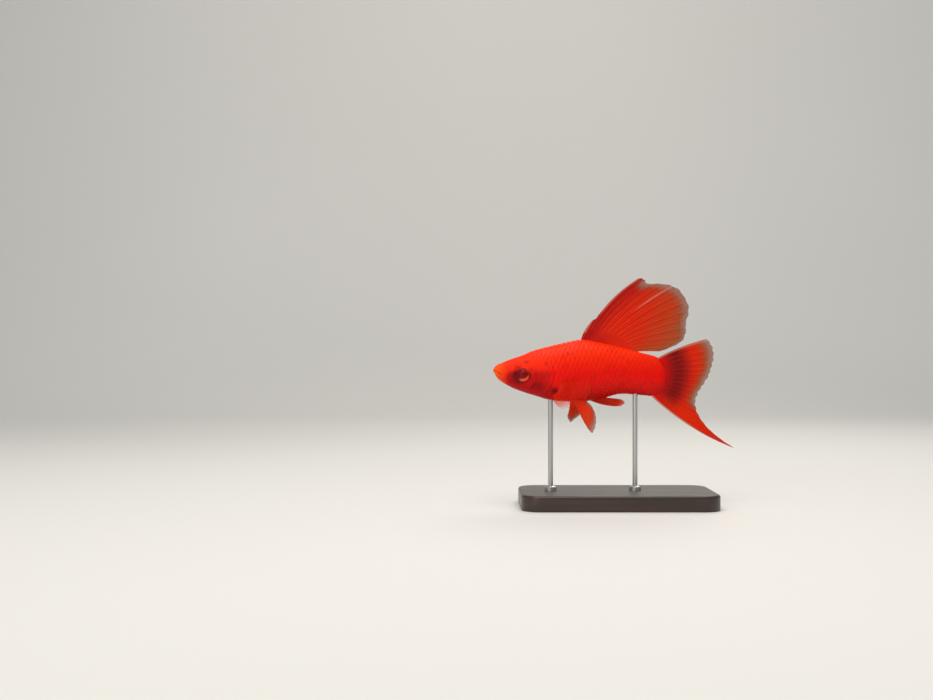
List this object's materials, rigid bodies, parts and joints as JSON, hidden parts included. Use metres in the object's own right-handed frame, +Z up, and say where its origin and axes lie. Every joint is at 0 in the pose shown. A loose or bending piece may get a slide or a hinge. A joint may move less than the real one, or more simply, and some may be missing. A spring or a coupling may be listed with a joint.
{
  "type": "swordtail fish model on a display stand",
  "caption": "Still, life-size model of a male red swordtail swimming level, with fins spread, held over a flat base by slim rods.",
  "frame": {"origin": "on the floor, under the middle of the whole model, which is the middle of the base's underside", "axes": "+Z up; the fish's head points to -X and its left side faces -Y"},
  "size_m": [0.079, 0.034, 0.0733],
  "materials": {
    "skin": "wet-looking scaled skin, orange red above and deep red below",
    "fin": "thin rayed fin, red at the root and clearer at the margin",
    "eye": "polished, dark red with a paler iris",
    "base": "dark, fine-grained, satin varnish",
    "rod": "satin"
  },
  "bodies": {
    "root": {"head": "skin", "jaw_lower": "skin", "gill_cover_left": "skin", "gill_cover_right": "skin", "trunk": "skin", "tail_stock": "skin", "eye_left": "eye", "eye_right": "eye", "fin_dorsal": "fin", "fin_caudal": "fin", "sword": "fin", "fin_pectoral_left": "fin", "fin_pectoral_right": "fin", "fin_pelvic_left": "fin", "fin_pelvic_right": "fin", "gonopodium": "fin", "stand_base": "base", "stand_rod_front": "rod", "stand_rod_rear": "rod"}
  },
  "joints": []
}
